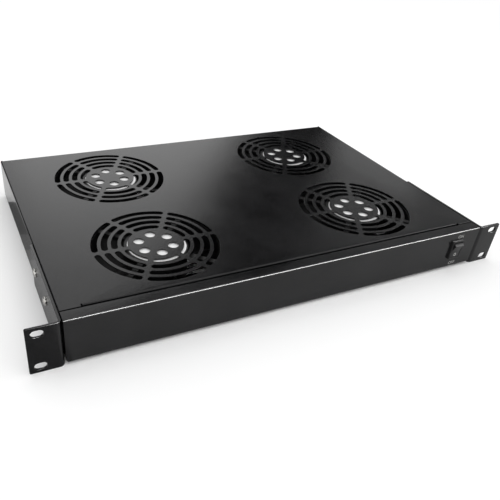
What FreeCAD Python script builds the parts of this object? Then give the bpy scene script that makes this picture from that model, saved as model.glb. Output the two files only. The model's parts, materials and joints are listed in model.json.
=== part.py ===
"""Rack fan tray, one rack unit high: a folded steel tray and cover, four axial fans, two ear brackets,
a rocker switch at the front and a power inlet at the rear.

Millimetres. The origin is the centre of the rack-hole pattern, on the rear face of the ears, which seats
on the rack's rails. +X runs to the right seen from the front, +Y to the rear and +Z up."""

import FreeCAD, Part
import math
import os

# ------------------------------------------------------------------ driving dimensions
# ears and rack holes: the 19-inch rack standard, one unit high
rack_width = 482.6
ear_slot_inset = 8.75
ear_reach = 27.0
rack_hole_pitch = 31.75
ear_height = 43.7
ear_slot_length = 10.0
ear_slot_width = 6.5
ear_sheet = 2.0
ear_bend = 2.0
bracket_length = 110.0
bracket_screw_first = 52.0
bracket_screw_pitch = 42.0
bracket_screw_height = 2.0

# folded case
sheet = 1.2
case_depth = 292.6
case_bend = 0.5
panel_side_gap = 1.0
panel_setback = 0.4
floor_lift = 1.85
lip_depth = 11.6
nose_gap = 0.5
nose_bend = 2.3
nose_drop = 10.0
tab_width = 17.8
tab_setback = 0.6
relief_width = 1.3
relief_length = 5.5
rear_flange_drop = 12.0
corner_gap = 0.6
fold_lap = 2.0
cover_clearance = 0.3

# fans, two rows of two
fan_size = 120.0
fan_depth = 38.0
fan_bore_wall = 2.0
fan_from_side = 103.0
fan_front_share = 0.16
fan_rear_share = 0.35
fan_corner_chamfer = 6.0
flange_thickness = 5.0
waist_wall = 7.0
strut_width = 5.5
strut_depth = 4.0
motor_plate_radius = 30.0
motor_plate_depth = 5.0
shaft_radius = 2.0
shaft_clearance = 0.05
shaft_in_plate = 3.4
shaft_in_hub = 9.0
shaft_end_gap = 0.3
hub_radius = 29.0
hub_height = 26.0
hub_gap = 1.0
blade_count = 5
blade_thickness = 1.6
blade_root_chord = 27.0
blade_tip_chord = 40.0
blade_pitch_degrees = 32.0
blade_root_sink = 3.0
tip_clearance = 1.5
fan_terminal_width = 2.8
fan_terminal_thickness = 0.5
fan_terminal_length = 7.0
fan_terminal_pitch = 6.0

# punched outlet grilles in the cover
grille_inside_bore = 0.25
ring_count = 4
ring_slot_width = 4.6
spoke_count = 6
spoke_width = 4.7
eye_radius = 5.0
eye_circle_radius = 15.7
eye_to_ring = 5.0

# punched intake bars in the tray's floor
intake_inside_bore = 2.0
intake_pitch = 10.5
intake_slot_width = 6.5
intake_slot_count = 9

# rounds that repeat many times are drawn with this many flats, which keeps the model light
slot_chord_count = 5
eye_flat_count = 16
bore_flat_count = 36
hub_flat_count = 24
tip_chord_count = 4
pin_flat_count = 12
lead_flat_count = 10

# pan-head screws
screw_radius = 2.0
screw_head_radius = 4.0
screw_head_height = 2.4
screw_crown_radius = 2.6
screw_length = 7.0
screw_rim_height = 1.0
screw_hole_clearance = 0.25
screw_thread_clearance = 0.05
cover_screw_length = 4.5
cover_screw_from_side = 22.7

# rocker switch
switch_from_edge = 27.3
switch_height = 1.5
bezel_width = 15.0
bezel_height = 21.0
bezel_depth = 2.0
bezel_chamfer = 0.6
switch_wall = 0.6
switch_body_width = 12.8
switch_body_height = 19.0
switch_body_depth = 13.0
switch_hole_clearance = 0.1
rocker_clearance = 0.25
rocker_pivot_depth = 1.0
rocker_swing_degrees = 11.0
rocker_tip = 4.8
rocker_valley = 3.5
rocker_back = 3.0
rocker_well_clearance = 0.6
blade_terminal_width = 4.8
blade_terminal_thickness = 0.8
blade_terminal_length = 8.0
blade_terminal_pitch = 7.5

# power inlet, snap-in, in the rear wall
inlet_from_side = 27.3
inlet_height = -3.5
inlet_bezel_width = 30.7
inlet_bezel_height = 23.6
inlet_bezel_depth = 2.6
inlet_bezel_chamfer = 0.8
inlet_body_width = 27.2
inlet_body_height = 19.6
inlet_body_depth = 17.0
inlet_hole_clearance = 0.15
inlet_cavity_width = 24.4
inlet_cavity_height = 16.8
inlet_cavity_depth = 16.6
inlet_corner_cut = 4.2
inlet_pin_width = 4.0
inlet_pin_thickness = 2.0
inlet_pin_pitch = 14.0
inlet_earth_rise = 4.0
inlet_pin_recess = 2.0
inlet_tab_length = 8.0
latch_rise = 1.6
latch_length = 6.0
latch_width = 8.0

# terminal block and leads in the right-hand bay
block_length = 36.0
block_width = 17.0
block_height = 14.0
block_pole_count = 4
block_groove = 2.0
lead_radius = 2.6
lead_end_gap = 0.3
lead_floor_gap = 0.6
earth_stud_radius = 2.0
earth_stud_height = 9.0
earth_nut_width = 7.0
earth_nut_height = 3.2
earth_nut_side_count = 6
earth_stud_offset = 34.0

# ------------------------------------------------------------------ places worked out from them
ear_front = -ear_sheet
rack_hole_span = rack_width - 2 * ear_slot_inset
case_side = rack_width / 2 - ear_reach
panel_side = case_side - panel_side_gap
bracket_outer = case_side + ear_sheet
top = ear_height / 2
cover_under = top - sheet
tray_bottom = -ear_height / 2 + floor_lift
tray_floor = tray_bottom + sheet
panel_front = ear_front + panel_setback
lip_end = panel_front + lip_depth
nose_front = lip_end + nose_gap
tab_front = nose_front + tab_setback
tab_inner = case_side - tab_width
rear_face = panel_front + case_depth
tray_rear = rear_face - sheet
tray_side = case_side - sheet
flange_inner = tray_side - sheet
flange_top = cover_under - cover_clearance
fan_top = tray_floor + fan_depth
plate_under = fan_top - motor_plate_depth
hub_top = plate_under - hub_gap
hub_bottom = hub_top - hub_height
bracket_screw_rows = [bracket_screw_first + i * bracket_screw_pitch for i in range(2)]

# the two rows of fans stand between the cover's nose and the rear wall, with a way for the lead
# between them; the depth that is still free is shared out in front of, between and behind them
fan_front_limit = tab_front + sheet
fan_rear_limit = tray_rear - sheet
lead_way = 2 * (lead_radius + lead_floor_gap)
free_depth = fan_rear_limit - fan_front_limit - 2 * fan_size - lead_way
fan_rows = {
    "front": fan_front_limit + fan_front_share * free_depth + fan_size / 2,
    "rear": fan_rear_limit - fan_rear_share * free_depth - fan_size / 2,
}
fan_columns = {"left": fan_from_side - case_side, "right": case_side - fan_from_side}
fan_bore_radius = fan_size / 2 - fan_bore_wall
intake_radius = fan_bore_radius - intake_inside_bore
grille_radius = fan_bore_radius - grille_inside_bore
inner_ring_radius = eye_circle_radius + eye_radius + eye_to_ring
ring_pitch = (grille_radius - ring_slot_width - inner_ring_radius) / (ring_count - 1)

switch_x = panel_side - switch_from_edge
inlet_x = case_side - inlet_from_side
block_y = (fan_rows["front"] + fan_rows["rear"]) / 2
bay_x = (fan_columns["right"] + fan_size / 2 + flange_inner) / 2


# ------------------------------------------------------------------ small helpers
def vec(x, y, z):
    return FreeCAD.Vector(x, y, z)


def block(x0, x1, y0, y1, z0, z1):
    return Part.makeBox(x1 - x0, y1 - y0, z1 - z0, vec(x0, y0, z0))


def rod(radius, start, end):
    along = end.sub(start)
    return Part.makeCylinder(radius, along.Length, start, along)


def flat_ring(x, y, radius, flats, outside=False):
    """Corner points of a round drawn with flats; with outside, the flats touch the radius."""
    reach = radius / math.cos(math.pi / flats) if outside else radius
    points = []
    for i in range(flats):
        angle = 2 * math.pi * (i + 0.5) / flats
        points.append((x + reach * math.cos(angle), y + reach * math.sin(angle)))
    return points


def in_yz(x):
    return lambda a, b: vec(x, a, b)


def in_xz(y):
    return lambda a, b: vec(a, y, b)


def in_xy(z):
    return lambda a, b: vec(a, b, z)


def rounded_path(points, radii):
    """Edges along flat points, with an arc of the given radius at each inner corner."""
    edges = []
    here = points[0]
    for i in range(1, len(points) - 1):
        corner = points[i]
        back = points[i - 1].sub(corner).normalize()
        ahead = points[i + 1].sub(corner).normalize()
        half_turn = (math.pi - back.getAngle(ahead)) / 2
        reach = radii[i - 1] * math.tan(half_turn)
        start = corner.add(back * reach)
        end = corner.add(ahead * reach)
        to_centre = back.add(ahead).normalize()
        middle = corner.add(to_centre * (radii[i - 1] / math.cos(half_turn) - radii[i - 1]))
        edges.append(Part.LineSegment(here, start).toShape())
        edges.append(Part.Arc(start, middle, end).toShape())
        here = end
    edges.append(Part.LineSegment(here, points[-1]).toShape())
    return edges


def offset_inside(flat, thickness, side):
    """The other face of a folded sheet: each flat point moved in by the sheet's thickness."""
    normals = []
    for (a0, b0), (a1, b1) in zip(flat, flat[1:]):
        run = math.hypot(a1 - a0, b1 - b0)
        normals.append((-side * (b1 - b0) / run, side * (a1 - a0) / run))
    moved = []
    for i, (a, b) in enumerate(flat):
        before = normals[max(i - 1, 0)]
        after = normals[min(i, len(normals) - 1)]
        share = thickness / (1 + before[0] * after[0] + before[1] * after[1])
        moved.append((a + share * (before[0] + after[0]), b + share * (before[1] + after[1])))
    return moved


def folded(flat, thickness, bends, side, place, along):
    """A folded strip: its outer face runs through the flat points, bends are the inner radii."""
    outer = [place(a, b) for a, b in flat]
    inner = [place(a, b) for a, b in offset_inside(flat, thickness, side)]
    edges = rounded_path(outer, [bend + thickness for bend in bends])
    back = rounded_path(inner, bends)
    edges.append(Part.LineSegment(outer[-1], inner[-1]).toShape())
    edges.extend(back)
    edges.append(Part.LineSegment(inner[0], outer[0]).toShape())
    return Part.Face(Part.Wire(Part.__sortEdges__(edges))).extrude(along)


def prism(flat, place, along):
    points = [place(a, b) for a, b in flat]
    return Part.Face(Part.makePolygon(points + points[:1])).extrude(along)


def mirrored(shape):
    return shape.mirror(vec(0, 0, 0), vec(1, 0, 0))


def turned(shape, centre, axis, degrees):
    copy = shape.copy()
    copy.rotate(centre, axis, degrees)
    return copy


def save(name, shapes):
    solids = []
    for shape in shapes:
        solids.extend(shape.removeSplitter().Solids)
    result = solids[0] if len(solids) == 1 else Part.makeCompound(solids)
    result.exportStep("parts/" + name + ".step")
    print(name, len(solids), "solids", round(sum(s.Volume for s in solids)), "mm3")


# ------------------------------------------------------------------ screws
def pan_screw(seat, direction, length):
    """A pan-head screw whose head sits on the seat; the shank runs against the direction."""
    shank = prism(flat_ring(0, 0, screw_radius, pin_flat_count), in_xy(-length), vec(0, 0, length))
    head_outline = flat_ring(0, 0, screw_head_radius, pin_flat_count)
    head = prism(head_outline, in_xy(0), vec(0, 0, screw_rim_height))
    rings = []
    steps = [(screw_head_radius, screw_rim_height), (screw_crown_radius, screw_head_height)]
    for radius, height in steps:
        points = [vec(a, b, height) for a, b in flat_ring(0, 0, radius, pin_flat_count)]
        rings.append(Part.makePolygon(points + points[:1]))
    crown = Part.makeLoft(rings, True, True)
    screw = head.fuse([crown, shank]).removeSplitter()
    screw.Placement = FreeCAD.Placement(seat, FreeCAD.Rotation(vec(0, 0, 1), direction))
    return screw


def bracket_screw_holes(x_from, x_to, radius):
    holes = []
    for y in bracket_screw_rows:
        ring = flat_ring(y, bracket_screw_height, radius, pin_flat_count, True)
        holes.append(prism(ring, in_yz(x_from), vec(x_to - x_from, 0, 0)))
    return holes


def cover_screw_holes(radius):
    holes = []
    for place in rear_screw_places():
        ring = flat_ring(place.x, place.z, radius, pin_flat_count, True)
        holes.append(prism(ring, in_xz(tray_rear - sheet - 1), vec(0, 2 * sheet + 2, 0)))
    return holes


def rear_screw_places():
    height = top - rear_flange_drop / 2
    from_middle = case_side - cover_screw_from_side
    return [vec(side * from_middle, rear_face, height) for side in (-1, 1)]


# ------------------------------------------------------------------ punched patterns
def ring_slot(centre, inner, outer, spoke_angle, depth):
    """One slot between two spokes. Its ends run parallel to the spokes, its long sides follow the
    ring in a few short chords."""
    step = 2 * math.pi / spoke_count
    points = []
    for radius, direction in ((outer, 1), (inner, -1)):
        lean = math.asin(spoke_width / 2 / radius)
        sweep = step - 2 * lean
        for i in range(slot_chord_count + 1):
            share = i / slot_chord_count if direction > 0 else 1 - i / slot_chord_count
            angle = spoke_angle + lean + sweep * share
            points.append((centre.x + radius * math.cos(angle), centre.y + radius * math.sin(angle)))
    return prism(points, in_xy(centre.z), vec(0, 0, depth))


def grille_cutters(x, y):
    """Everything punched out of the cover over one fan: rings of slots and a circle of eyes."""
    depth = 3 * sheet
    centre = vec(x, y, top - 2 * sheet)
    cutters = []
    for ring in range(ring_count):
        outer = grille_radius - ring * ring_pitch
        for spoke in range(spoke_count):
            angle = 2 * math.pi * spoke / spoke_count
            cutters.append(ring_slot(centre, outer - ring_slot_width, outer, angle, depth))
    for spoke in range(spoke_count):
        angle = 2 * math.pi * (spoke + 0.5) / spoke_count
        eye_x = x + eye_circle_radius * math.cos(angle)
        eye_y = y + eye_circle_radius * math.sin(angle)
        eye = flat_ring(eye_x, eye_y, eye_radius, eye_flat_count)
        cutters.append(prism(eye, in_xy(centre.z), vec(0, 0, depth)))
    return cutters


def intake_cutters(x, y):
    """Straight slots across the fan's intake; each ends on the intake circle."""
    cutters = []
    half_width = intake_slot_width / 2
    for i in range(intake_slot_count):
        offset = (i - (intake_slot_count - 1) / 2) * intake_pitch
        reach = math.sqrt(intake_radius**2 - (abs(offset) + half_width) ** 2)
        low = y + offset - half_width
        high = low + intake_slot_width
        cutters.append(block(x - reach, x + reach, low, high, tray_bottom - sheet, tray_floor + sheet))
    return cutters


# ------------------------------------------------------------------ folded case
def base_tray():
    """Floor, front panel with its top lip, and rear wall in one folded run, plus the side flanges."""
    rear_top = flange_top
    run = [
        (lip_end, top),
        (panel_front, top),
        (panel_front, tray_bottom),
        (tray_rear, tray_bottom),
        (tray_rear, rear_top),
    ]
    tray = folded(run, sheet, [case_bend] * 3, 1, in_yz(-panel_side), vec(2 * panel_side, 0, 0))
    fold = case_bend + sheet
    flange_front = panel_front + fold + corner_gap + sheet
    flange_rear = tray_rear - fold - corner_gap
    beyond = panel_side + 1
    floor_edge = tray_side - fold
    wall_edge = flange_inner - corner_gap
    cuts = []
    for side in (-1, 1):
        near, far = sorted((side * floor_edge, side * beyond))
        cuts.append(block(near, far, flange_front, flange_rear, tray_bottom - 1, top + 1))
        near, far = sorted((side * wall_edge, side * beyond))
        cuts.append(block(near, far, flange_rear, tray_rear + 1, tray_bottom - 1, top + 1))
    tray = tray.cut(Part.makeCompound(cuts))
    flange_run = [(floor_edge - fold_lap, tray_bottom), (tray_side, tray_bottom), (tray_side, flange_top)]
    along = vec(0, flange_rear - flange_front, 0)
    flange = folded(flange_run, sheet, [case_bend], 1, in_xz(flange_front), along)
    tray = tray.fuse([flange, mirrored(flange)])

    holes = []
    for x in fan_columns.values():
        for y in fan_rows.values():
            holes.extend(intake_cutters(x, y))
    half_hole_w = switch_body_width / 2 + switch_hole_clearance
    half_hole_h = switch_body_height / 2 + switch_hole_clearance
    holes.append(
        block(
            switch_x - half_hole_w,
            switch_x + half_hole_w,
            panel_front - 1,
            panel_front + sheet + 1,
            switch_height - half_hole_h,
            switch_height + half_hole_h,
        )
    )
    half_hole_w = inlet_body_width / 2 + inlet_hole_clearance
    half_hole_h = inlet_body_height / 2 + inlet_hole_clearance
    holes.append(
        block(
            inlet_x - half_hole_w,
            inlet_x + half_hole_w,
            tray_rear - sheet - 1,
            tray_rear + 1,
            inlet_height - half_hole_h,
            inlet_height + half_hole_h,
        )
    )
    thread_radius = screw_radius + screw_thread_clearance
    side_holes = bracket_screw_holes(flange_inner - 1, tray_side + 1, thread_radius)
    holes.extend(side_holes)
    holes.extend(mirrored(hole) for hole in side_holes)
    holes.extend(cover_screw_holes(thread_radius))
    return tray.cut(Part.makeCompound(holes))


def top_cover():
    """Sides that wrap the tray, a rounded nose between two relief notches, and a rear flange."""
    rear_fold = rear_face - case_bend - sheet
    nose_fold = nose_front + nose_bend + sheet
    shell_run = [
        (-case_side, tray_bottom),
        (-case_side, top),
        (case_side, top),
        (case_side, tray_bottom),
    ]
    along = vec(0, rear_face - tab_front, 0)
    cover = folded(shell_run, sheet, [case_bend] * 2, -1, in_xz(tab_front), along)
    cuts = [
        block(-tab_inner, tab_inner, tab_front - 1, nose_fold, cover_under - 1, top + 1),
        block(-flange_inner, flange_inner, rear_fold, rear_face + 1, cover_under - 1, top + 1),
    ]
    inner_edge = tab_inner - relief_width
    relief_end = nose_front + relief_length
    for side in (-1, 1):
        near, far = sorted((side * inner_edge, side * tab_inner))
        cuts.append(block(near, far, tab_front - 1, relief_end, cover_under - 1, top + 1))
    cover = cover.cut(Part.makeCompound(cuts))
    nose_run = [(nose_fold + fold_lap, top), (nose_front, top), (nose_front, top - nose_drop)]
    nose = folded(nose_run, sheet, [nose_bend], 1, in_yz(-inner_edge), vec(2 * inner_edge, 0, 0))
    rear_run = [(rear_fold - fold_lap, top), (rear_face, top), (rear_face, top - rear_flange_drop)]
    rear = folded(rear_run, sheet, [case_bend], -1, in_yz(-flange_inner), vec(2 * flange_inner, 0, 0))
    cover = cover.fuse([nose, rear])

    holes = []
    for x in fan_columns.values():
        for y in fan_rows.values():
            holes.extend(grille_cutters(x, y))
    # the sides have notches open at the bottom, so the cover drops over its loosened screws
    half_notch = screw_radius + screw_hole_clearance
    for y in bracket_screw_rows:
        for side in (-1, 1):
            near, far = sorted((side * (tray_side - 1), side * (case_side + 1)))
            upper = bracket_screw_height + half_notch
            holes.append(block(near, far, y - half_notch, y + half_notch, tray_bottom - 1, upper))
    holes.extend(cover_screw_holes(half_notch))
    return cover.cut(Part.makeCompound(holes))


def ear_bracket():
    """The right-hand bracket: the ear with its two rack slots, and the leg that screws to the side."""
    run = [(rack_width / 2, ear_front), (case_side, ear_front), (case_side, bracket_length)]
    height = vec(0, 0, ear_height)
    bracket = folded(run, ear_sheet, [ear_bend], -1, in_xy(-ear_height / 2), height)
    half_straight = (ear_slot_length - ear_slot_width) / 2
    slot_x = rack_hole_span / 2
    cuts = []
    for side in (-1, 1):
        z = side * rack_hole_pitch / 2
        for end in (-1, 1):
            x = slot_x + end * half_straight
            cuts.append(rod(ear_slot_width / 2, vec(x, ear_front - 1, z), vec(x, 1, z)))
        low = z - ear_slot_width / 2
        high = low + ear_slot_width
        cuts.append(block(slot_x - half_straight, slot_x + half_straight, ear_front - 1, 1, low, high))
    hole_radius = screw_radius + screw_hole_clearance
    cuts.extend(bracket_screw_holes(case_side - 1, bracket_outer + 1, hole_radius))
    slots = cuts[0].fuse(cuts[1:])
    return bracket.cut(slots)


# ------------------------------------------------------------------ fans
def fan_frame(x, y):
    """Square flanges joined by a waisted barrel, with four struts that carry the motor plate."""
    half = fan_size / 2
    cut = fan_corner_chamfer
    corners = [(half, half - cut), (half - cut, half)]
    outline = []
    for turn in range(4):
        cos_t = round(math.cos(turn * math.pi / 2))
        sin_t = round(math.sin(turn * math.pi / 2))
        for a, b in corners:
            outline.append((x + a * cos_t - b * sin_t, y + a * sin_t + b * cos_t))
    frame = prism(outline, in_xy(tray_floor), vec(0, 0, fan_depth))
    centre = vec(x, y, tray_floor)
    bore = flat_ring(x, y, fan_bore_radius, bore_flat_count, True)
    cutters = [prism(bore, in_xy(tray_floor - 1), vec(0, 0, fan_depth + 2))]
    waist = fan_bore_radius + waist_wall
    low = tray_floor + flange_thickness
    high = fan_top - flange_thickness
    for quarter in range(4):
        corner = block(x + waist, x + waist + half, y - half, y + half, low, high)
        cutters.append(turned(corner, centre, vec(0, 0, 1), 45 + 90 * quarter))
    frame = frame.cut(Part.makeCompound(cutters))
    plate = flat_ring(x, y, motor_plate_radius, hub_flat_count)
    carrier = prism(plate, in_xy(plate_under), vec(0, 0, motor_plate_depth))
    struts = []
    reach = fan_bore_radius + waist_wall / 2
    under = fan_top - strut_depth
    for quarter in range(4):
        half_strut = strut_width / 2
        strut = block(x, x + reach, y - half_strut, y + half_strut, under, fan_top)
        struts.append(turned(strut, centre, vec(0, 0, 1), 45 + 90 * quarter))
    frame = frame.fuse([carrier] + struts)
    bearing = flat_ring(x, y, shaft_radius + shaft_clearance, pin_flat_count, True)
    depth = shaft_in_plate + shaft_end_gap
    return frame.cut(prism(bearing, in_xy(plate_under), vec(0, 0, depth)))


def fan_blade():
    """A flat stamped blade set at its pitch, leading edge low. Its tip follows the frame's bore."""
    tilt = math.radians(blade_pitch_degrees)
    along = vec(0, math.cos(tilt), -math.sin(tilt))
    across = vec(0, math.sin(tilt), math.cos(tilt))
    half_root = blade_root_chord / 2
    tip_circle = fan_bore_radius - tip_clearance
    root_across = half_root * math.cos(tilt) + blade_thickness
    root_reach = math.sqrt(hub_radius**2 - root_across**2) - blade_root_sink
    outline = [(root_reach, half_root), (root_reach, -half_root)]
    for i in range(tip_chord_count + 1):
        chord = blade_tip_chord * (i / tip_chord_count - 0.5)
        swing = abs(chord) * math.cos(tilt) + blade_thickness / 2
        outline.append((math.sqrt(tip_circle**2 - swing**2), chord))
    under = across * (-blade_thickness / 2)
    points = [vec(reach, 0, 0).add(along * chord).add(under) for reach, chord in outline]
    return Part.Face(Part.makePolygon(points + points[:1])).extrude(across * blade_thickness)


def impeller(x, y):
    """The rotor's hub with its blades; the blade tips clear the frame's bore."""
    hub = prism(flat_ring(0, 0, hub_radius, hub_flat_count), in_xy(hub_bottom), vec(0, 0, hub_height))
    pin = flat_ring(0, 0, shaft_radius, pin_flat_count)
    socket = prism(pin, in_xy(hub_top - shaft_in_hub), vec(0, 0, shaft_in_hub))
    middle = (hub_top + hub_bottom) / 2
    blades = []
    for i in range(blade_count):
        copy = turned(fan_blade(), vec(0, 0, 0), vec(0, 0, 1), 360 * i / blade_count)
        copy.translate(vec(0, 0, middle))
        blades.append(copy)
    wheel = hub.fuse(blades).cut(socket)
    wheel.translate(vec(x, y, 0))
    return wheel


def fan_shaft(x, y):
    """Pressed in the hub, it turns in the motor plate's bearing."""
    length = shaft_in_hub + hub_gap + shaft_in_plate
    pin = flat_ring(x, y, shaft_radius, pin_flat_count)
    return prism(pin, in_xy(hub_top - shaft_in_hub), vec(0, 0, length))


def fan_terminals():
    """Two flat blades on the side of each fan, towards the bay between the columns."""
    blades = []
    half_width = fan_terminal_width / 2
    low = tray_floor + flange_thickness - fan_terminal_thickness
    high = low + fan_terminal_thickness
    for column, x in fan_columns.items():
        inward = 1 if column == "left" else -1
        start = x + inward * fan_size / 2
        near, far = sorted((start, start + inward * fan_terminal_length))
        for y in fan_rows.values():
            for side in (-1, 1):
                middle = y + side * fan_terminal_pitch / 2
                blades.append(block(near, far, middle - half_width, middle + half_width, low, high))
    return blades


# ------------------------------------------------------------------ rocker switch
def switch_body():
    back = panel_front + switch_body_depth
    front = panel_front - bezel_depth
    body = block(
        switch_x - switch_body_width / 2,
        switch_x + switch_body_width / 2,
        panel_front,
        back,
        switch_height - switch_body_height / 2,
        switch_height + switch_body_height / 2,
    )
    bezel = block(
        switch_x - bezel_width / 2,
        switch_x + bezel_width / 2,
        front,
        panel_front,
        switch_height - bezel_height / 2,
        switch_height + bezel_height / 2,
    )
    rim = [edge for edge in bezel.Edges if edge.BoundBox.YMax < front + 0.01]
    bezel = bezel.makeChamfer(bezel_chamfer, rim)
    half_well_w = switch_body_width / 2 - switch_wall
    half_well_h = switch_body_height / 2 - switch_wall
    swing = math.radians(rocker_swing_degrees)
    well_back = rocker_back * math.cos(swing) + half_well_h * math.sin(swing) + rocker_well_clearance
    well = block(
        switch_x - half_well_w,
        switch_x + half_well_w,
        front - 1,
        panel_front + rocker_pivot_depth + well_back,
        switch_height - half_well_h,
        switch_height + half_well_h,
    )
    return body.fuse(bezel).cut(well)


def switch_rocker():
    """The rocker at OFF: its lower half is pressed in. Its ends are arcs about the pivot."""
    half_width = switch_body_width / 2 - switch_wall - rocker_clearance
    end_radius = switch_body_height / 2 - switch_wall - rocker_clearance
    pivot_y = panel_front + rocker_pivot_depth
    place = in_yz(switch_x - half_width)

    def at(outward, up):
        return place(pivot_y - outward, switch_height + up)

    tip_up = math.sqrt(end_radius**2 - rocker_tip**2)
    back_up = math.sqrt(end_radius**2 - rocker_back**2)
    edges = [
        Part.LineSegment(at(rocker_valley, 0), at(rocker_tip, tip_up)).toShape(),
        Part.Arc(at(rocker_tip, tip_up), at(0, end_radius), at(-rocker_back, back_up)).toShape(),
        Part.LineSegment(at(-rocker_back, back_up), at(-rocker_back, -back_up)).toShape(),
        Part.Arc(at(-rocker_back, -back_up), at(0, -end_radius), at(rocker_tip, -tip_up)).toShape(),
        Part.LineSegment(at(rocker_tip, -tip_up), at(rocker_valley, 0)).toShape(),
    ]
    rocker = Part.Face(Part.Wire(edges)).extrude(vec(2 * half_width, 0, 0))
    return turned(rocker, vec(switch_x, pivot_y, switch_height), vec(1, 0, 0), rocker_swing_degrees)


def switch_terminals():
    blades = []
    back = panel_front + switch_body_depth
    half_width = blade_terminal_width / 2
    for side in (-1, 1):
        low = switch_height + side * blade_terminal_pitch / 2 - blade_terminal_thickness / 2
        high = low + blade_terminal_thickness
        end = back + blade_terminal_length
        blades.append(block(switch_x - half_width, switch_x + half_width, back, end, low, high))
    return blades


# ------------------------------------------------------------------ power inlet
def keyed_outline(width, height, cut):
    """A rectangle whose two upper corners are cut, as on a three-pin inlet."""
    half_w = width / 2
    half_h = height / 2
    return [
        (inlet_x - half_w, inlet_height - half_h),
        (inlet_x + half_w, inlet_height - half_h),
        (inlet_x + half_w, inlet_height + half_h - cut),
        (inlet_x + half_w - cut, inlet_height + half_h),
        (inlet_x - half_w + cut, inlet_height + half_h),
        (inlet_x - half_w, inlet_height + half_h - cut),
    ]


def inlet_body():
    front = tray_rear + inlet_bezel_depth
    body = block(
        inlet_x - inlet_body_width / 2,
        inlet_x + inlet_body_width / 2,
        tray_rear - inlet_body_depth,
        tray_rear,
        inlet_height - inlet_body_height / 2,
        inlet_height + inlet_body_height / 2,
    )
    bezel = block(
        inlet_x - inlet_bezel_width / 2,
        inlet_x + inlet_bezel_width / 2,
        tray_rear,
        front,
        inlet_height - inlet_bezel_height / 2,
        inlet_height + inlet_bezel_height / 2,
    )
    rim = [edge for edge in bezel.Edges if edge.BoundBox.YMin > front - 0.01]
    bezel = bezel.makeChamfer(inlet_bezel_chamfer, rim)
    latches = []
    wall_inside = tray_rear - sheet - inlet_hole_clearance
    for side in (-1, 1):
        root = inlet_x + side * inlet_body_width / 2
        wedge = [
            (root, wall_inside),
            (root + side * latch_rise, wall_inside),
            (root, wall_inside - latch_length),
        ]
        low = inlet_height - latch_width / 2
        latches.append(prism(wedge, in_xy(low), vec(0, 0, latch_width)))
    mouth = keyed_outline(inlet_cavity_width, inlet_cavity_height, inlet_corner_cut)
    floor_y = front - inlet_cavity_depth
    cavity = prism(mouth, in_xz(floor_y), vec(0, inlet_cavity_depth + 1, 0))
    slots = [pin_block(x, z, floor_y - inlet_body_depth, floor_y + 1) for x, z in pin_places()]
    return body.fuse([bezel] + latches).cut(cavity.fuse(slots))


def pin_places():
    low = inlet_height - inlet_earth_rise / 2
    return [
        (inlet_x - inlet_pin_pitch / 2, low),
        (inlet_x + inlet_pin_pitch / 2, low),
        (inlet_x, low + inlet_earth_rise),
    ]


def pin_block(x, z, y0, y1):
    half_w = inlet_pin_thickness / 2
    half_h = inlet_pin_width / 2
    return block(x - half_w, x + half_w, y0, y1, z - half_h, z + half_h)


def inlet_pins():
    tip = tray_rear + inlet_bezel_depth - inlet_pin_recess
    tail = tray_rear - inlet_body_depth - inlet_tab_length
    return [pin_block(x, z, tail, tip) for x, z in pin_places()]


# ------------------------------------------------------------------ wiring in the right-hand bay
def terminal_block():
    """A moulded strip on the floor with a groove between its poles."""
    left = bay_x - block_width / 2
    right = bay_x + block_width / 2
    front = block_y - block_length / 2
    block_top = tray_floor + block_height
    strip = block(left, right, front, front + block_length, tray_floor, block_top)
    grooves = []
    for i in range(1, block_pole_count):
        near = front + i * block_length / block_pole_count - block_groove / 2
        far = near + block_groove
        grooves.append(block(left, right, near, far, block_top - block_groove, block_top + 1))
    return strip.cut(Part.makeCompound(grooves))


def lead(start, end):
    """A sleeved lead that runs straight between its two ends."""
    along = end.sub(start)
    sleeve = prism(flat_ring(0, 0, lead_radius, lead_flat_count), in_xy(0), vec(0, 0, along.Length))
    sleeve.Placement = FreeCAD.Placement(start, FreeCAD.Rotation(vec(0, 0, 1), along))
    return sleeve


def inlet_lead():
    """From the inlet's tabs to the terminal block."""
    start = vec(inlet_x, tray_rear - inlet_body_depth - inlet_tab_length - lead_end_gap, inlet_height)
    end_y = block_y + block_length / 2 + lead_end_gap
    return lead(start, vec(bay_x, end_y, tray_floor + block_height / 2))


def switch_lead():
    """From the terminal block to the switch's blades."""
    start = vec(bay_x, block_y - block_length / 2 - lead_end_gap, tray_floor + block_height / 2)
    end_y = panel_front + switch_body_depth + blade_terminal_length + lead_end_gap
    return lead(start, vec(switch_x, end_y, switch_height))


def fan_lead():
    """From the terminal block across the tray, in the aisle between the two rows of fans."""
    height = tray_floor + lead_radius + lead_floor_gap
    start = vec(bay_x - block_width / 2 - lead_end_gap, block_y, height)
    return lead(start, vec(fan_columns["left"], block_y, height))


def earth_stud():
    """A welded stud with its nut, beside the inlet."""
    y = tray_rear - earth_stud_offset
    height = vec(0, 0, earth_stud_height)
    stud = prism(flat_ring(bay_x, y, earth_stud_radius, pin_flat_count), in_xy(tray_floor), height)
    nut = flat_ring(bay_x, y, earth_nut_width / 2, earth_nut_side_count, True)
    return stud.fuse(prism(nut, in_xy(tray_floor), vec(0, 0, earth_nut_height)))


# ------------------------------------------------------------------ build and save
os.makedirs("parts", exist_ok=True)

save("base_tray", [base_tray()])
save("top_cover", [top_cover()])
right_bracket = ear_bracket()
save("ear_bracket_right", [right_bracket])
save("ear_bracket_left", [mirrored(right_bracket)])

side_screws = []
for y in bracket_screw_rows:
    for side in (-1, 1):
        seat = vec(side * bracket_outer, y, bracket_screw_height)
        side_screws.append(pan_screw(seat, vec(side, 0, 0), screw_length))
save("bracket_screws", side_screws)
rear_screws = [pan_screw(place, vec(0, 1, 0), cover_screw_length) for place in rear_screw_places()]
save("cover_screws", rear_screws)

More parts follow.
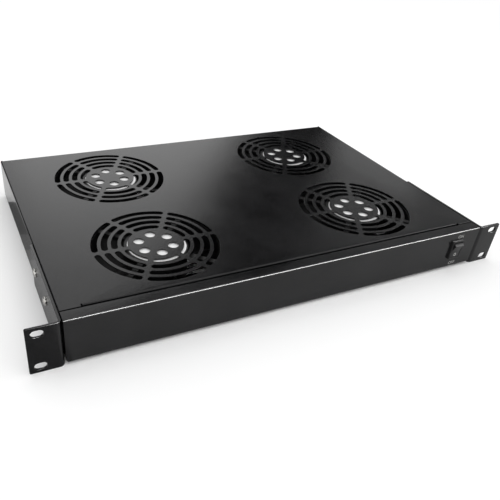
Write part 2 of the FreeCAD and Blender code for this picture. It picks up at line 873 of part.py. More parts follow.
for row, y in fan_rows.items():
    for column, x in fan_columns.items():
        name = row + "_" + column
        save("fan_frame_" + name, [fan_frame(x, y)])
        save("impeller_" + name, [impeller(x, y)])
        save("fan_shaft_" + name, [fan_shaft(x, y)])
save("fan_terminals", fan_terminals())

save("switch_body", [switch_body()])
save("switch_rocker", [switch_rocker()])
save("switch_terminals", switch_terminals())
save("inlet_body", [inlet_body()])
save("inlet_pins", inlet_pins())
save("terminal_block", [terminal_block()])
save("inlet_lead", [inlet_lead()])
save("switch_lead", [switch_lead()])
save("fan_lead", [fan_lead()])
save("earth_stud", [earth_stud()])
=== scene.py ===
# %% [markdown]
# # Rack fan tray
# A rack fan tray is a shallow folded steel box, one rack unit high, with four fans that blow up through
# ring grilles in its cover. This lesson dresses the engineering model of one. It loads that model, sets
# the camera and a small studio, mixes the finishes, then builds each visible piece in mesh code.
# The scene is in metres. Pieces are drawn in millimetres and scaled when they are finished. +X points to
# the right, +Y to the rear and +Z up.

# %% Load the engineering model
import bmesh
import bpy
import json
import math
from mathutils import Matrix, Vector, geometry


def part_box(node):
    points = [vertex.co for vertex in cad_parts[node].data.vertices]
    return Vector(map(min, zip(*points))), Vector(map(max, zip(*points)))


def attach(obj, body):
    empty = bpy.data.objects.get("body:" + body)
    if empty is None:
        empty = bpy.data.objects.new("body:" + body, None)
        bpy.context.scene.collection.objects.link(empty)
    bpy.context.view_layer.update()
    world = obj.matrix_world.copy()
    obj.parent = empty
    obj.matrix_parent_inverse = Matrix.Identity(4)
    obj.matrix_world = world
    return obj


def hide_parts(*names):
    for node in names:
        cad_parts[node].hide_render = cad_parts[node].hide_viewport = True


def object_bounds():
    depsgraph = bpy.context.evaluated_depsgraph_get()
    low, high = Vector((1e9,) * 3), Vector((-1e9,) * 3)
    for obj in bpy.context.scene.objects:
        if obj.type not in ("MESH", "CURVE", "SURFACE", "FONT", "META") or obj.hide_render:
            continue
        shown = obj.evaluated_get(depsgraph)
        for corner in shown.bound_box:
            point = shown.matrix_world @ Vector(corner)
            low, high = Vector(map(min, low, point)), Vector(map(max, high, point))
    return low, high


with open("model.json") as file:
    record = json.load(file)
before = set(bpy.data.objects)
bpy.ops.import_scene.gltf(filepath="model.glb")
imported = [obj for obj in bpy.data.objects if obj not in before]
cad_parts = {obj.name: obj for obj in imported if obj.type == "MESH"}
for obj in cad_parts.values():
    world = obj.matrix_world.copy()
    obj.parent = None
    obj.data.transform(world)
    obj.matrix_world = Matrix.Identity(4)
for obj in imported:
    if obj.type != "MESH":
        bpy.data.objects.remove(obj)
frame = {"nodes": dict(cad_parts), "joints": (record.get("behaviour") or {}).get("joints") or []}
cad_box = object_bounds()
mm = 0.001
cad_size = [round((high - low) / mm, 1) for low, high in zip(*cad_box)]
print("nodes", len(frame["nodes"]), "size in mm", cad_size)

# %% [markdown]
# ## Camera
# The tray is seen from its front left corner and from above, through a slightly long lens. A camera can
# be turned by angles or by a tracking constraint. Here its three axes, right, up and back, are written
# as unit vectors, because they say at once how it is held. A small lens shift places the tray in the
# frame without turning the camera.

# %% Set the camera
camera_place = Vector((-0.2687, -0.3240, 0.2946))
camera_right = Vector((0.9017, -0.4262, 0.0733))
camera_up = Vector((0.1836, 0.5306, 0.8275))
camera_back = Vector((-0.3915, -0.7327, 0.5567))

lens = bpy.data.cameras.new("studio_lens")
lens.sensor_width = 36
lens.lens = 40.46
lens.shift_x = 0.0794
lens.shift_y = 0.0212
camera = bpy.data.objects.new("studio_camera", lens)
bpy.context.scene.collection.objects.link(camera)
turn = Matrix((camera_right, camera_up, camera_back)).transposed().to_4x4()
camera.matrix_world = Matrix.Translation(camera_place) @ turn
bpy.context.scene.camera = camera
bpy.context.scene.view_settings.view_transform = "Standard"
print("camera stands", round(camera_place.length, 3), "m from the rack holes' centre")

# %% [markdown]
# ## A colour and a node
# Paint charts give colours as sRGB hex, but light is worked out in linear values, so one function turns
# the first into the second. Shader nodes can be added by hand, with a line for each socket. One small
# function that adds a node, sets its values and joins its inputs keeps every material short.

# %% Colour and node helpers
def linear(hex_colour):
    channels = [int(hex_colour[i:i + 2], 16) / 255 for i in (1, 3, 5)]
    flat = [c / 12.92 if c <= 0.04045 else ((c + 0.055) / 1.055) ** 2.4 for c in channels]
    return (*flat, 1.0)


def add_node(tree, kind, values=None, links=None, **settings):
    """A node of a kind, with its settings, its inputs' values and the sockets that feed them."""
    node = tree.nodes.new("ShaderNode" + kind)
    for name, value in settings.items():
        setattr(node, name, value)
    for name, value in (values or {}).items():
        node.inputs[name].default_value = value
    for name, source in (links or {}).items():
        tree.links.new(source, node.inputs[name])
    return node


def new_material(name):
    material = bpy.data.materials.new(name)
    material.use_nodes = True
    material.node_tree.nodes.clear()
    return material, material.node_tree


print("mid grey", [round(c, 3) for c in linear("#808080")])

# %% [markdown]
# ## Studio
# Satin black steel shows little colour of its own. It is lit by what it mirrors, so lamps alone would
# leave it flat or spotted. White air lies all round instead, and flat cards stand in it, as in a product
# studio. The floor is plain and keeps the tray's shadow.

# %% World and floor
world = bpy.data.worlds.new("studio_air")
bpy.context.scene.world = world
world.use_nodes = True
air = world.node_tree
air.nodes.clear()
ray = add_node(air, "LightPath").outputs
seen = ray["Is Camera Ray"]
for kind in ("Is Glossy Ray", "Is Transmission Ray"):
    seen = add_node(air, "Math", links={0: seen, 1: ray[kind]}, operation="MAXIMUM").outputs[0]
soft_air = add_node(air, "Background", {"Color": linear("#ffffff"), "Strength": 1.03})
white_air = add_node(air, "Background", {"Color": linear("#ffffff"), "Strength": 1.0})
mixed = add_node(air, "MixShader", links={0: seen, 1: soft_air.outputs[0], 2: white_air.outputs[0]})
add_node(air, "OutputWorld", links={"Surface": mixed.outputs[0]})
floor_z = cad_box[0].z


def stage_plane(name, corners, shader, values):
    """A flat four-cornered stage piece in metres."""
    mesh = bpy.data.meshes.new(name)
    mesh.from_pydata(corners, [], [range(4)])
    made = bpy.data.objects.new(name, mesh)
    bpy.context.scene.collection.objects.link(made)
    material, tree = new_material(name)
    paint = add_node(tree, shader, values)
    add_node(tree, "OutputMaterial", links={"Surface": paint.outputs[0]})
    mesh.materials.append(material)
    return made


def level(x0, x1, y0, y1, z):
    return [(x0, y0, z), (x1, y0, z), (x1, y1, z), (x0, y1, z)]


stage_plane("white_floor", level(-12, 12, -12, 12, floor_z), "BsdfDiffuse", {"Color": linear("#fafafa")})
print("floor at", round(floor_z / mm, 2), "mm")

# %% [markdown]
# ## Cards
# Only reflections see the cards. They change what a satin or shiny surface mirrors, and they cast neither
# light nor shadow. Curved cards would mirror more softly, but flat ones are easy to place one by one.
# - The bright card behind the tray gives the cover its sheen, and the black card leans beside it and
#   cuts a deep diagonal band.
# - The pale card brings a little sheen back at the right. The high card and the grey card hold back the
#   rest of that side.
# - The left card is what the case's left side mirrors, and the dark ceiling is what a level surface
#   mirrors when it is seen from straight above.
# - The side card glows at the front right and draws a faint line along the cover's nose.
# - Grey sheets on the floor are painted shade: they darken the floor, as the tray's shadow would, where
#   the front panel, the left ear and the left side mirror it.

# %% Cards
def card(name, corners, grey, glow=None):
    """A piece of the studio that only reflections see; it glows if it is given a strength."""
    shader, values = "BsdfDiffuse", {"Color": linear(grey)}
    if glow:
        shader, values = "Emission", {"Color": linear(grey), "Strength": glow}
    made = stage_plane(name, corners, shader, values)
    for kind in ("camera", "diffuse", "transmission", "shadow"):
        setattr(made, "visible_" + kind, False)


back = 2.0
card("bright_card", [(0.0, back, 0), (1.40, back, 0), (0.72, back, 1.2), (0.0, back, 1.2)],
     "#ffffff", 1.45)
card("black_card", [(1.50, back, 0), (1.69, back, 0), (1.69, back, 2.4), (0.17, back, 2.4)], "#0a0a0a")
card("pale_card", [(1.70, back, 0), (2.0, 1.6, 0), (2.0, 1.6, 1.1), (1.70, back, 1.2)], "#d2d2d2")
card("high_card", [(1.70, back, 1.2), (2.0, 1.6, 1.1), (2.0, 1.6, 2.6), (1.70, back, 2.6)], "#787878")
card("grey_card", [(2.0, 1.6, 0), (2.6, -0.6, 0), (2.6, -0.6, 2.6), (2.0, 1.6, 2.6)], "#8c8c8c")
card("left_card", [(-2.6, 1.2, 0), (-0.5, back, 0), (-0.5, back, 1.6), (-2.6, 1.2, 1.6)], "#141414")
card("side_card", [(2.4, -0.3, 1.0), (1.95, -1.2, 1.0), (1.95, -1.2, 1.9), (2.4, -0.3, 1.9)],
     "#ffffff", 4.0)
card("dark_ceiling", level(-1.2, 1.2, -1.4, 0.8, 2.2), "#1c1c1c")
# Painted shade: each sheet is a darker patch of floor that only reflections see, the one by the left ear   included. The three strips by the left side get darker from front to rear.
sheets = [
    ("painted_floor_shade", (-0.5, 0.5, -0.4, 0.275), 0.1 * mm, "#bcbcbc"),
    ("ear_sheet", (-0.34, -0.208, -0.2, 0), 0.2 * mm, "#7e7e7e"),
    ("painted_side_shade_front", (-0.34, -0.215, 0.15, 0.17), 0.2 * mm, "#a6a6a6"),
    ("painted_side_shade_middle", (-0.34, -0.215, 0.17, 0.2), 0.2 * mm, "#929292"),
    ("painted_side_shade_rear", (-0.34, -0.215, 0.2, 0.275), 0.2 * mm, "#747474"),
]
for name, edges, lift, grey in sheets:
    card(name, level(*edges, floor_z + lift), grey)
print("sheets on the floor", len(sheets))

# %% [markdown]
# ## Soft boxes
# Two area lamps finish the light. A weak one overhead reaches down through the grilles. A long, strong
# one at the front right draws the bright line along the front fold. A spot lamp would only leave a dot
# there. The strong one lights only the pieces in its collection, which is filled near the end.

# %% Soft boxes
def soft_box(name, place, aim, width, depth, power):
    lamp = bpy.data.lights.new(name, "AREA")
    lamp.shape = "RECTANGLE"
    lamp.size = width
    lamp.size_y = depth
    lamp.energy = power
    made = bpy.data.objects.new(name, lamp)
    bpy.context.scene.collection.objects.link(made)
    made.location = place
    made.rotation_euler = (Vector(aim) - Vector(place)).to_track_quat("-Z", "Y").to_euler()
    return made


soft_box("key_box", (0.15, 0.25, 1.5), (0.15, 0.249, 0), 1.0, 1.0, 3)
edge_box = soft_box("edge_box", (0.68, -0.6, 0.92), (0.68, 0, 0), 1.6, 0.35, 85)
edge_box.visible_diffuse = False
edge_lit = bpy.data.collections.new("edge_lit")
edge_box.light_linking.receiver_collection = edge_lit
print("lamps", len(bpy.data.lights))

# %% [markdown]
# ## Powder coat
# The sheet metal wears epoxy-polyester powder. It is sprayed on dry and baked, and melts into a satin
# skin with a fine orange peel. An image could carry the peel, but it would need a file and unwrapped
# faces. Noise in the object's own metres keeps one real size over every piece and every fold.

# %% Powder coat
def grain_scale(size_mm):
    """Noise scale that gives features of about this size when it is fed in metres."""
    return 1000 / size_mm


def powder_coat(name, dark, light, roughness):
    """Satin black, with fine peel in its colour and relief, and clouds in its colour and gloss."""
    material, tree = new_material(name)
    where = {"Vector": add_node(tree, "TexCoord").outputs["Object"]}
    # Real peel is near 0.5 mm across. It is drawn at 1.6 mm, so that it still shows.
    fine = {"Scale": grain_scale(1.6), "Detail": 2.0, "Roughness": 0.6}
    peel = add_node(tree, "TexNoise", fine, where).outputs["Fac"]
    cloud = add_node(tree, "TexNoise", {"Scale": grain_scale(45), "Detail": 3.0}, where).outputs["Fac"]
    both = add_node(tree, "Math", {1: 2.0}, {0: peel, 2: cloud}, operation="MULTIPLY_ADD")
    # The sum lies mostly near 1.5. Its middle is stretched over the whole ramp.
    middle = {"From Min": 1.2, "From Max": 1.8}
    stretched = add_node(tree, "MapRange", middle, {"Value": both.outputs[0]}).outputs["Result"]
    tint = add_node(tree, "ValToRGB", links={"Fac": stretched})
    for stop, colour in zip(tint.color_ramp.elements, (dark, light)):
        stop.color = linear(colour)
    limits = {"To Min": roughness - 0.05, "To Max": roughness + 0.05}
    sheen = add_node(tree, "MapRange", limits, {"Value": cloud}).outputs["Result"]
    bump = add_node(tree, "Bump", {"Strength": 0.25, "Distance": 0.3 * mm}, {"Height": peel})
    fed = {"Base Color": tint.outputs["Color"], "Roughness": sheen, "Normal": bump.outputs["Normal"]}
    coat = add_node(tree, "BsdfPrincipled", {"IOR": 1.5}, fed)
    add_node(tree, "OutputMaterial", links={"Surface": coat.outputs[0]})
    return material


black_powder = powder_coat("black_powder_coat", "#0a0a0b", "#1b1b1c", 0.21)
print(black_powder.name, "grain at", round(grain_scale(1.6)), "per metre")

# %% [markdown]
# ## Metals and plastics
# The other surfaces are plated, ground, painted or moulded. Each could have its own node tree, but they
# differ only in colour, gloss and grain, so one recipe makes them all: a faint grain that moves the
# colour, the gloss and the relief together, as a real one does.

# %% Metals and plastics
def grained(name, dark, light, roughness, ior, grain_mm, depth_mm, metallic=0.0):
    """A surface with a faint grain in its colour, its gloss and its relief."""
    material, tree = new_material(name)
    where = {"Vector": add_node(tree, "TexCoord").outputs["Object"]}
    noise = {"Scale": grain_scale(grain_mm), "Detail": 3.0}
    grain = add_node(tree, "TexNoise", noise, where).outputs["Fac"]
    tint = add_node(tree, "ValToRGB", links={"Fac": grain})
    for stop, place, colour in zip(tint.color_ramp.elements, (0.3, 0.7), (dark, light)):
        stop.position = place
        stop.color = linear(colour)
    limits = {"To Min": roughness * 0.8, "To Max": roughness * 1.2}
    gloss = add_node(tree, "MapRange", limits, {"Value": grain}).outputs["Result"]
    bump = add_node(tree, "Bump", {"Strength": 0.2, "Distance": depth_mm * mm}, {"Height": grain})
    fed = {"Base Color": tint.outputs["Color"], "Roughness": gloss, "Normal": bump.outputs["Normal"]}
    shader = add_node(tree, "BsdfPrincipled", {"Metallic": metallic}, fed)
    if ior:
        shader.inputs["IOR"].default_value = ior
    add_node(tree, "OutputMaterial", links={"Surface": shader.outputs[0]})
    return material


# Tumbled in a plating barrel: a hard, bright mirror with faint blotches.
zinc_plate = grained("zinc_plated_steel", "#c2c0bb", "#e2e1dd", 0.17, None, 2.0, 0.02, 1.0)
# Ground to size: a softer, greyer mirror.
ground_steel = grained("ground_steel", "#8f8f90", "#b4b4b5", 0.3, None, 0.8, 0.02, 1.0)
# Stamped and dipped in tin: warm and rather dull.
tinned_brass = grained("tinned_brass", "#a9a498", "#cfcabd", 0.32, None, 1.5, 0.02, 1.0)
# Die cast and painted: black, with broad, weak highlights.
painted_casting = grained("black_painted_casting", "#070708", "#0c0c0d", 0.45, 1.46, 2.5, 0.05)
# Printed film, pressed on: flat, even white with a slight gloss.
label_film = grained("white_label_film", "#e6e6e6", "#f2f2f2", 0.35, 1.5, 6.0, 0.01)
# Moulded with glass fibre, which roughens the skin: dull black.
wheel_plastic = grained("glass_filled_polyester", "#070708", "#0c0c0d", 0.55, 1.46, 1.2, 0.03)
# Moulded in an etched tool: an even, fine matt.
switch_nylon = grained("black_nylon", "#0a0a0b", "#101011", 0.42, 1.53, 0.9, 0.02)
# Moulded in a smooth tool: it mirrors the room more clearly than its frame does.
paddle_plastic = grained("polished_black_polycarbonate", "#131314", "#19191a", 0.36, 1.58, 3.0, 0.01)
# Moulded in a spark-eroded tool: a coarser matt that looks slightly grey.
inlet_plastic = grained("spark_textured_polyamide", "#111112", "#1a1a1b", 0.5, 1.53, 0.7, 0.05)
# Moulded without a dye: cream and a little waxy.
block_nylon = grained("natural_nylon", "#cfcbbb", "#e0dccd", 0.45, 1.53, 1.0, 0.03)
# Extruded and soft: dark grey, with wide highlights.
lead_sleeve = grained("pvc_sleeving", "#161616", "#202020", 0.48, 1.53, 1.2, 0.04)
# Pressed on with a soft pad: thin, flat, pale grey.
white_ink = grained("white_pad_print", "#9b9b99", "#b5b5b2", 0.5, 1.48, 1.0, 0.01)
print("finishes", len(bpy.data.materials))

# %% [markdown]
# ## Folded sheet
# The case is cut flat from steel sheet and folded, and it is built the same way here. Booleans could cut
# the holes from a solid, but a hundred of them are slow and leave ragged faces. So a plate is a flat
# outline with its holes, filled by a triangulation, with both faces and all its cut edges. A strip is a
# fold: one cross section carried round the bend. Powder runs back from sharp edges and rounds them
# slightly, so each cut edge gets a small bevel, which also catches the light as the real one does.

# %% Flat outlines
edge_break = 0.1
# How many sides a circle is drawn with, so that each looks round at its size.
thread_sides, hole_sides, eye_sides, head_sides, hub_sides, bore_sides = 16, 20, 24, 32, 64, 72


def arc(x, y, radius, start, end, count):
    """Points along an arc, both ends included, in millimetres and radians."""
    angles = [start + (end - start) * i / count for i in range(count + 1)]
    return [(x + radius * math.cos(a), y + radius * math.sin(a)) for a in angles]


def circle(x, y, radius, count):
    return arc(x, y, radius, 0, 2 * math.pi, count)[:-1]


def rounded_box(x, y, width, height, radius, count=5):
    """A rectangle with round corners, anticlockwise from its lower right corner."""
    loop = []
    for turns, (sx, sy) in enumerate(((1, -1), (1, 1), (-1, 1), (-1, -1))):
        start = (turns - 1) * math.pi / 2
        corner_x, corner_y = x + sx * (width / 2 - radius), y + sy * (height / 2 - radius)
        loop.extend(arc(corner_x, corner_y, radius, start, start + math.pi / 2, count))
    return loop


def bar_slot(x, y, reach, width):
    """A straight slot with half-round ends."""
    half = width / 2
    right = arc(x + reach - half, y, half, -math.pi / 2, math.pi / 2, 8)
    return right + arc(x - reach + half, y, half, math.pi / 2, 3 * math.pi / 2, 8)


print("a 6 mm box with 1 mm corners has", len(rounded_box(0, 0, 6, 6, 1)), "points")

# %% Work on an outline
def grown(loop, amounts):
    """The loop with side i, from corner i to the next, moved outward by amounts[i]."""
    moved = []
    for i, (x, y) in enumerate(loop):
        next_x, next_y = loop[(i + 1) % len(loop)]
        before = Vector((y - loop[i - 1][1], loop[i - 1][0] - x)).normalized()
        after = Vector((next_y - y, x - next_x)).normalized()
        turn = before.x * after.y - before.y * after.x
        first, second = amounts[i - 1], amounts[i]
        if abs(turn) < 1e-4:
            moved.append((x + after.x * second, y + after.y * second))
        else:
            shift_x = (first * after.y - second * before.y) / turn
            shift_y = (second * before.x - first * after.x) / turn
            moved.append((x + shift_x, y + shift_y))
    return moved


def inside(loop, x, y):
    """Whether a point is inside a closed loop, by counting the sides to its right."""
    found = False
    for i, (x1, y1) in enumerate(loop):
        x0, y0 = loop[i - 1]
        if (y0 > y) != (y1 > y) and x < x0 + (x1 - x0) * (y - y0) / (y1 - y0):
            found = not found
    return found


print("the middle of a slot is inside it:", inside(bar_slot(0, 0, 5, 6.5), 0, 0))

# %% Plates
def join_rows(mesh, one, two, skipped=()):
    """Faces between two closed rows with as many points each."""
    for i in range(len(one)):
        after = (i + 1) % len(one)
        if i not in skipped:
            mesh.faces.new((one[i], one[after], two[after], two[i]))


def plate(mesh, outline, joined, holes, thickness, place):
    """A flat panel. Sides of the outline in joined run into a fold and stay open."""
    inset = grown(outline, [0 if i in joined else -edge_break for i in range(len(outline))])
    rims = [(outline, inset, joined)]
    rims += [(hole, grown(hole, [edge_break] * len(hole)), ()) for hole in holes]
    flat, sides, owner = [], [], []
    for number, (_, soft, _) in enumerate(rims):
        first = len(flat)
        sides.extend((first + i, first + (i + 1) % len(soft)) for i in range(len(soft)))
        flat.extend(Vector(point) for point in soft)
        owner.extend([number] * len(soft))
    points, _, triangles, origin, _, _ = geometry.delaunay_2d_cdt(flat, sides, [], 1, 1e-5)
    owner = [owner[ids[0]] for ids in origin]
    kept = []
    for triangle in triangles:
        owners = {owner[i] for i in triangle}
        if len(owners) == 1:
            middle = sum((points[i] for i in triangle), Vector((0, 0))) / 3
            number = owners.pop()
            if inside(rims[number][1], *middle) != (number == 0):
                continue
        kept.append(triangle)
    for depth in (0, thickness):
        corners = [mesh.verts.new(place(p.x, p.y, depth)) for p in points]
        for triangle in kept:
            mesh.faces.new([corners[i] for i in triangle])
    for loop, soft, skipped in rims:
        levels = ((soft, 0), (loop, edge_break), (loop, thickness - edge_break), (soft, thickness))
        rows = [[mesh.verts.new(place(u, v, depth)) for u, v in ring] for ring, depth in levels]
        for one, two in zip(rows, rows[1:]):
            join_rows(mesh, one, two, skipped)


print("each cut edge is broken by", edge_break, "mm")

# %% Folds and closed forms
def bend(x, y, radius, start, end, count=8):
    """Stations round a fold's outer face: each is a point and the direction into the sheet."""
    angles = [start + (end - start) * i / count for i in range(count + 1)]
    points = arc(x, y, radius, start, end, count)
    return [(point, (-math.cos(a), -math.sin(a))) for point, a in zip(points, angles)]


def strip(mesh, stations, low, high, thickness, place, free_end=False):
    """The sheet's section, from low to high across, carried along the stations."""
    e, t = edge_break, thickness
    section = [(low + e, 0), (high - e, 0), (high, e), (high, t - e)]
    section += [(high - e, t), (low + e, t), (low, t - e), (low, e)]
    end = [(min(max(w, low + e), high - e), min(max(d, e), t - e)) for w, d in section]
    if free_end:
        (x, y), into = stations[-1]
        away = Vector((x, y)) - Vector(stations[-2][0])
        last = Vector((x, y)) - away.normalized() * e
        stations = stations[:-1] + [(tuple(last), into), ((x, y), into)]
    rows = []
    for i, ((x, y), (into_x, into_y)) in enumerate(stations):
        shape = end if free_end and i == len(stations) - 1 else section
        rows.append([mesh.verts.new(place(x + into_x * d, y + into_y * d, w)) for w, d in shape])
    for one, two in zip(rows, rows[1:]):
        join_rows(mesh, one, two)
    if free_end:
        mesh.faces.new(rows[-1])


def skin(mesh, loops, place, ends=True):
    """A closed form through loops with as many points each; each loop comes with its depth."""
    rows = [[mesh.verts.new(place(u, v, depth)) for u, v in loop] for loop, depth in loops]
    for one, two in zip(rows, rows[1:]):
        join_rows(mesh, one, two)
    if ends:
        mesh.faces.new(rows[0])
        mesh.faces.new(rows[-1])


def revolve(mesh, profile, count, place):
    """A turned form: profile points are (radius, height), and a radius of 0 closes the end."""
    loops = [(circle(0, 0, max(radius, 1e-3), count), height) for radius, height in profile]
    skin(mesh, loops, place)


print("a square fold has", len(bend(0, 0, 1, 0, math.pi / 2)), "stations")

# %% Places for flat work
def lying(face, inward):
    """A level plate: its outer face is at this height and its thickness runs inward."""
    return lambda x, y, depth: Vector((x, y, face + inward * depth))


def facing(face, inward):
    """A plate across the case, such as the front panel or the rear wall."""
    return lambda x, z, depth: Vector((x, face + inward * depth, z))


def flanking(side, face, inward):
    """A plate along one side of the case; side is -1 for the left and 1 for the right."""
    return lambda y, z, depth: Vector((side * (face + inward * depth), y, z))


def across(y, z, w):
    """A fold that runs across the case."""
    return Vector((w, y, z))


def along(side):
    """A fold that runs along one side of the case."""
    return lambda x, z, w: Vector((side * x, w, z))


print("2 mm into a floor at -20 mm is", lying(-20, 1)(0, 0, 2).z, "mm")

# %% Finishing a piece
def piece(name, mesh, material, body, stands_for=(), smooth=32):
    """Welds a millimetre mesh, scales it to metres, hangs it on its body and hides what it replaces."""
    bmesh.ops.remove_doubles(mesh, verts=mesh.verts, dist=1e-3)
    bmesh.ops.dissolve_degenerate(mesh, edges=mesh.edges, dist=1e-4)
    bmesh.ops.recalc_face_normals(mesh, faces=mesh.faces)
    bmesh.ops.scale(mesh, verts=mesh.verts, vec=(mm, mm, mm))
    data = bpy.data.meshes.new(name)
    mesh.to_mesh(data)
    mesh.free()
    data.shade_smooth()
    data.set_sharp_from_angle(angle=math.radians(smooth))
    made = bpy.data.objects.new(name, data)
    bpy.context.scene.collection.objects.link(made)
    data.materials.append(material)
    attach(made, body)
    if stands_for:
        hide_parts(*stands_for)
    print(name, len(data.polygons), "faces")


def box_mm(node):
    """A node's two corners in millimetres, to a twentieth."""
    return [Vector([round(c / mm * 20) / 20 for c in corner]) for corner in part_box(node)]


cover_lo, cover_hi = box_mm("top_cover")
tray_lo, tray_hi = box_mm("base_tray")
print("the case is", round(cover_hi.x - cover_lo.x, 1), "mm wide")

# %% [markdown]
# ## Cover
# The cover is one sheet: a top with four punched grilles, sides that wrap the tray, a rounded nose along
# the front and a flange that screws to the rear wall. The grille over each fan is four rings of slots
# between six spokes, with a circle of round eyes over the hub. Punches have round corners, so the slots
# end in half circles. The pattern is worked out from the fan's centre, which the joint gives, so it
# can't slip from the fan below it.

# %% Grille
fans = {}
for joint in frame["joints"]:
    if joint["name"].startswith("spin_"):
        fans[joint["name"][5:]] = Vector(joint["pos_m"]) / mm

grille_radius = 58.2
inner_ring = 31.2
ring_count = 4
slot_width = 5.7
spoke_count = 6
spoke_width = 4.0
eye_radius = 5.0
eye_circle = 15.7
ring_steps, cap_steps = 9, 7


def ring_slot(x, y, inner, outer, spoke_angle):
    """A slot between two spokes that follows the ring and ends in half circles."""
    middle, cap = (inner + outer) / 2, (outer - inner) / 2
    lean = math.asin((spoke_width / 2 + cap) / middle)
    first = spoke_angle + lean
    last = spoke_angle + 2 * math.pi / spoke_count - lean
    ends = [(x + middle * math.cos(a), y + middle * math.sin(a)) for a in (first, last)]
    loop = arc(x, y, outer, first, last, ring_steps)
    loop += arc(*ends[1], cap, last, last + math.pi, cap_steps)[1:-1]
    loop += arc(x, y, inner, last, first, ring_steps)
    loop += arc(*ends[0], cap, first + math.pi, first + 2 * math.pi, cap_steps)[1:-1]
    return loop


def grille(x, y):
    """Every hole that is punched over one fan."""
    holes = []
    pitch = (grille_radius - inner_ring) / (ring_count - 1)
    spokes = [2 * math.pi * i / spoke_count for i in range(spoke_count)]
    for ring in range(ring_count):
        outer = grille_radius - ring * pitch
        holes += [ring_slot(x, y, outer - slot_width, outer, angle) for angle in spokes]
    for spoke in spokes:
        angle = spoke + math.pi / spoke_count
        eye_x, eye_y = x + eye_circle * math.cos(angle), y + eye_circle * math.sin(angle)
        holes.append(circle(eye_x, eye_y, eye_radius, eye_sides))
    return holes


print("holes over one fan", len(grille(0, 0)))

# %% Cover measures
sheet, fold_out = 1.2, 1.7
cover_side, rear_face = cover_hi.x, cover_hi.y
tab_back, nose_back, tab_width = 0.9, 2.3, 17.8
tab_front, nose_front = cover_lo.y + tab_back, cover_lo.y + nose_back
tab_inner = cover_side - tab_width
relief_width, relief_length = 1.4, 1.6
nose_out = 1.25
nose_drop, rear_drop = 10.0, 12.0
flange_inner = cover_side - 2 * sheet
side_screw_rows, side_screw_height = (52.0, 94.0), 2.0
screw_hole, thread_hole = 2.25, 2.05
rear_screw_in = 22.7
rear_screw_x, rear_screw_z = cover_side - rear_screw_in, cover_hi.z - rear_drop / 2
print("nose at", round(nose_front, 2), "mm, rear face at", round(rear_face, 2), "mm")

# %% Cover sheet
def cover_top(mesh):
    """The level face, cut back at the front corners for the nose's two relief notches."""
    side, notch_in = cover_side - fold_out, tab_inner - relief_width
    notch_end = nose_front + relief_length
    right = [(notch_in, nose_front + nose_out), (notch_in, notch_end), (tab_inner, notch_end)]
    right += [(tab_inner, tab_front), (side, tab_front), (side, rear_face)]
    right += [(flange_inner, rear_face), (flange_inner, rear_face - fold_out)]
    outline = right + [(-x, y) for x, y in reversed(right)]
    folded_sides = (4, 7, 10, 15)
    holes = [hole for centre in fans.values() for hole in grille(centre.x, centre.y)]
    plate(mesh, outline, folded_sides, holes, sheet, lying(cover_hi.z, -1))


def cover_nose(mesh):
    """A tight round bend, then a short drop."""
    reach = tab_inner - relief_width
    nose = bend(nose_front + nose_out, cover_hi.z - nose_out, nose_out, math.pi / 2, math.pi, 12)
    nose.append(((nose_front, cover_hi.z - nose_drop), (1, 0)))
    strip(mesh, nose, -reach, reach, sheet, across, True)


def cover_flange(mesh):
    """The rear flange, with its two screw holes."""
    fold_z = cover_hi.z - fold_out
    fold = bend(rear_face - fold_out, fold_z, fold_out, math.pi / 2, 0)
    strip(mesh, fold, -flange_inner, flange_inner, sheet, across)
    foot = cover_hi.z - rear_drop
    flange = [(-flange_inner, foot), (flange_inner, foot)]
    flange += [(flange_inner, fold_z), (-flange_inner, fold_z)]
    screws = [circle(s * rear_screw_x, rear_screw_z, screw_hole, hole_sides) for s in (-1, 1)]
    plate(mesh, flange, (2,), screws, sheet, facing(rear_face, -1))


def cover_flanks(mesh):
    """The two sides, with notches that drop over the bracket screws."""
    low, fold_z = cover_lo.z, cover_hi.z - fold_out
    notch_top = side_screw_height + screw_hole
    wall = [(tab_front, low)]
    for y in side_screw_rows:
        front, rear = y - screw_hole, y + screw_hole
        wall += [(front, low), (front, notch_top), (rear, notch_top), (rear, low)]
    wall += [(rear_face, low), (rear_face, fold_z), (tab_front, fold_z)]
    for s in (-1, 1):
        fold = bend(cover_side - fold_out, fold_z, fold_out, math.pi / 2, 0)
        strip(mesh, fold, tab_front, rear_face, sheet, along(s))
        plate(mesh, wall, (10,), [], sheet, flanking(s, cover_side, -1))


cover = bmesh.new()
for part in (cover_top, cover_nose, cover_flange, cover_flanks):
    part(cover)
piece("cover_sheet", cover, black_powder, "chassis", ["top_cover"])

# %% [markdown]
# ## Tray
# The tray carries everything. Its front is the panel, with slightly rounded lower corners, folded back
# at the top into a lip that leaves a dark gap before the cover's nose. Each fan draws its air through
# straight slots in the floor. It is one folded sheet too, so it is made from plates and strips again.

# %% Tray measures
lip_depth = 11.6
corner_gap = 0.6
foot_round = 1.0
cover_gap = 0.3
flange_top = cover_hi.z - sheet - cover_gap
panel_side, tray_side = tray_hi.x, cover_side - sheet
panel_front = tray_lo.y
fold_y, fold_z = panel_front + fold_out, tray_lo.z + fold_out
rear_y = tray_hi.y - fold_out
floor_edge, wall_edge = tray_side - fold_out, tray_side - sheet - corner_gap
flange_front, flange_rear = fold_y + corner_gap + sheet, rear_y - corner_gap
panel_foot = panel_side - foot_round
switch_lo, switch_hi = box_mm("switch_body")
inlet_lo, inlet_hi = box_mm("inlet_body")
switch_centre, inlet_centre = (switch_lo + switch_hi) / 2, (inlet_lo + inlet_hi) / 2
switch_body_size, inlet_body_size = (12.8, 19.0), (27.2, 19.6)


def opening(centre, size, clearance, radius):
    """The hole that a snap-in body drops into."""
    width, height = size
    return rounded_box(centre.x, centre.z, width + clearance, height + clearance, radius)


switch_opening = opening(switch_centre, switch_body_size, 0.2, 0.5)
inlet_opening = opening(inlet_centre, inlet_body_size, 0.3, 0.8)
print("the lip is", lip_depth, "mm deep and the panel", round(2 * panel_side, 1), "mm wide")

